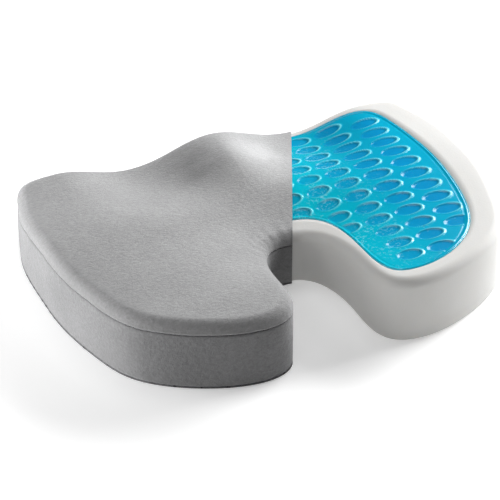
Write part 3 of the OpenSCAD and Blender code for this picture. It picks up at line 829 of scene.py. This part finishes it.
def make_patches():
    """The sewn patches that hold the handle, each with the sleeve for its rolled end."""
    lo, hi = (np.array(p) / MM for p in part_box("handle_end_patches"))
    loop_lo, loop_hi = (np.array(p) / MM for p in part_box("handle_loop"))
    axis_y, axis_z = loop_lo[1] + 1.5, (loop_lo[2] + loop_hi[2]) / 2
    parts = []
    for side in (-1, 1):
        ends = sorted((side * hi[0], side * (hi[0] - PATCH_W)))
        low, high = np.array([ends[0], lo[1], lo[2]]), np.array([ends[1], lo[1] + PATCH_T, hi[2]])
        parts.append(soft_slab(low, high, 0.6, 0.15))
        ends = sorted((side * (loop_hi[0] - 0.5), side * (loop_hi[0] - 0.5 - KEEPER_W)))
        parts.append(keeper(ends[0], ends[1], axis_y, axis_z, KEEPER_R, KEEPER_BORE))
    obj = joined("handle_patches", parts)
    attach(obj, "cushion")
    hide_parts("handle_end_patches")
    paint(obj, cloth_material("patch_weave", (0.05, 0.05, 0.055), (0.13, 0.13, 0.14), 1100))


def make_tapes():
    """Woven zipper tapes, one above the teeth and one below."""
    mat = cloth_material("zipper_tape", (0.05, 0.05, 0.052), (0.12, 0.12, 0.125), 1400, (0.4, 1, 1))
    for node, name in (("zipper_tape_upper", "upper_tape"), ("zipper_tape_lower", "lower_tape")):
        lo, hi = (np.array(p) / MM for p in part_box(node))
        obj = joined(name, [soft_slab(lo, hi, 0.5)])
        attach(obj, "cushion")
        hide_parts(node)
        paint(obj, mat)


def make_label(band):
    """Small satin label laid on the band, sewn along its ends and lifted a little between them."""
    lo, hi = (np.array(p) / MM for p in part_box("care_label"))
    nx, nz = 25, 17
    verts = []
    for w in np.linspace(0, 1, nz):
        for u in np.linspace(0, 1, nx):
            x, z = lo[0] + (hi[0] - lo[0]) * u, lo[2] + (hi[2] - lo[2]) * w
            hit, spot, _, _ = band.ray_cast((x * MM, (hi[1] + 6) * MM, z * MM), (0, -1, 0))
            y = spot[1] / MM if hit else lo[1]
            verts.append((x, y + 0.3 + 0.15 * math.sin(math.pi * u), z))
    obj = build("label_sheet", np.array(verts), grid_faces(nx, nz, 0, False))
    thicken(obj, 0.2 * MM)
    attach(obj, "cushion")
    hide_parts("care_label")
    paint(obj, cloth_material("label_satin", (0.50, 0.50, 0.485), (0.66, 0.66, 0.645), 2200, bump=0.0001))


def webbing_material():
    """Ribbed polyester webbing with a herringbone of crossing yarns."""
    m = Mat("webbing_weave")
    ribs = m.node("TexWave", Vector=m.scaled(0, 0, 1), Scale=330.0)
    ribs.bands_direction = "Z"
    yarn = m.node("TexWave", Vector=m.scaled(1, 0, 1.2), Scale=260.0, Distortion=0.8, Detail=1.0)
    yarn.bands_direction = "DIAGONAL"
    both = m.math("MULTIPLY", m.math("ADD", ribs.outputs["Fac"], yarn.outputs["Fac"]), 0.5)
    color = m.ramp(both, [(0.1, (0.028, 0.028, 0.032)), (0.9, (0.12, 0.12, 0.13))])
    return m.shader(Base_Color=color, Roughness=0.7, Sheen_Weight=0.3, Sheen_Roughness=0.4,
                    Normal=m.bump(both, 0.0003, 0.7))


def finish_small_parts():
    """Better materials for the CAD parts that keep their shape."""
    thread = cloth_material("seam_thread", (0.10, 0.10, 0.105), (0.24, 0.24, 0.25), 1800)
    light_thread = cloth_material("patch_thread", (0.18, 0.18, 0.19), (0.36, 0.36, 0.37), 1800)
    teeth = hard_material("teeth_resin", (0.05, 0.05, 0.052), (0.09, 0.09, 0.095), 0.35)
    metal = hard_material("slider_metal", (0.12, 0.12, 0.13), (0.30, 0.30, 0.32), 0.25, 0.85)
    pull = hard_material("pull_metal", (0.16, 0.16, 0.17), (0.34, 0.34, 0.36), 0.22, 0.85)
    for node, mat in {
        "top_seam_stitching": thread, "base_seam_stitching": thread, "zipper_stitching": light_thread,
        "zipper_teeth_upper": teeth, "zipper_teeth_lower": teeth, "zipper_end_stops": metal,
        "zipper_slider": metal, "zipper_pull": pull, "handle_stitching": light_thread,
    }.items():
        repaint(node, mat)


# ---------------------------------------------------------------- studio
AZIMUTH, ELEVATION = -23.71, 34.57
CAMERA_AWAY = 2.6
LOOK_AT = (-0.0081, 0.0371, 0.0)
LENS = 188.3


def make_camera():
    """The camera, placed by its direction and distance."""
    a, e = math.radians(AZIMUTH), math.radians(ELEVATION)
    back = Vector((math.sin(a) * math.cos(e), -math.cos(a) * math.cos(e), math.sin(e)))
    cam = bpy.data.cameras.new("camera")
    cam.lens = LENS
    cam.sensor_width = 36
    cam.clip_end = 20
    obj = bpy.data.objects.new("camera", cam)
    obj.location = Vector(LOOK_AT) + back * CAMERA_AWAY
    obj.rotation_euler = (-back).to_track_quat("-Z", "Y").to_euler()
    bpy.context.scene.collection.objects.link(obj)
    bpy.context.scene.camera = obj


# studio lights: name, compass angle from +X, height angle, distance, width and height in metres, power
LIGHTS = [
    ("right", 14, 20, 2.0, (1.3, 1.3), 66),
    ("right_back", 30, 24, 2.0, (1.3, 1.3), 30),
    ("left_back", 165, 22, 2.0, (1.3, 1.3), 14),
    ("overhead", 100, 80, 2.0, (1.3, 1.3), 10),
    ("left_low", 166, 1, 0.75, (0.5, 0.05), 6.5),
    ("front_fill", 235, 30, 2.0, (1.3, 1.3), 3),
]


def area_light(name, around, height, away, size, power):
    light = bpy.data.lights.new(name, "AREA")
    light.shape = "RECTANGLE"
    light.size, light.size_y = size
    light.energy = power
    a, h = math.radians(around), math.radians(height)
    towards = Vector((math.cos(h) * math.cos(a), math.cos(h) * math.sin(a), math.sin(h)))
    obj = bpy.data.objects.new(name, light)
    obj.location = towards * away + Vector((0, 0, 0.03))
    obj.rotation_euler = towards.to_track_quat("Z", "Y").to_euler()
    bpy.context.scene.collection.objects.link(obj)


def make_studio():
    """Pale floor, soft lights and a dim world."""
    world = bpy.data.worlds.new("studio")
    world.use_nodes = True
    world.node_tree.nodes["Background"].inputs["Color"].default_value = (1, 1, 1, 1)
    world.node_tree.nodes["Background"].inputs["Strength"].default_value = 0.05
    bpy.context.scene.world = world
    for light in LIGHTS:
        area_light(*light)
    m = Mat("floor_white")
    m.shader(Base_Color=m.mix(m.noise(3, 2), (0.95, 0.95, 0.95), (0.97, 0.97, 0.97)), Roughness=0.8,
             Specular_IOR_Level=0.1, Emission_Color=(1.0, 1.0, 1.0), Emission_Strength=0.27)
    size = 6.0
    mesh = bpy.data.meshes.new("floor")
    corners = [(-size, -size, 0), (size, -size, 0), (size, size, 0), (-size, size, 0)]
    mesh.from_pydata(corners, [], [(0, 1, 2, 3)])
    floor = bpy.data.objects.new("floor", mesh)
    bpy.context.scene.collection.objects.link(floor)
    paint(floor, m.mat)
    bpy.context.scene.view_settings.view_transform = "Standard"


make_camera()
make_studio()
make_foam()
make_gel()
make_film()
make_cover_top()
band = make_cover_band()
make_cover_base()
make_handle()
make_patches()
make_tapes()
make_label(band)
finish_small_parts()
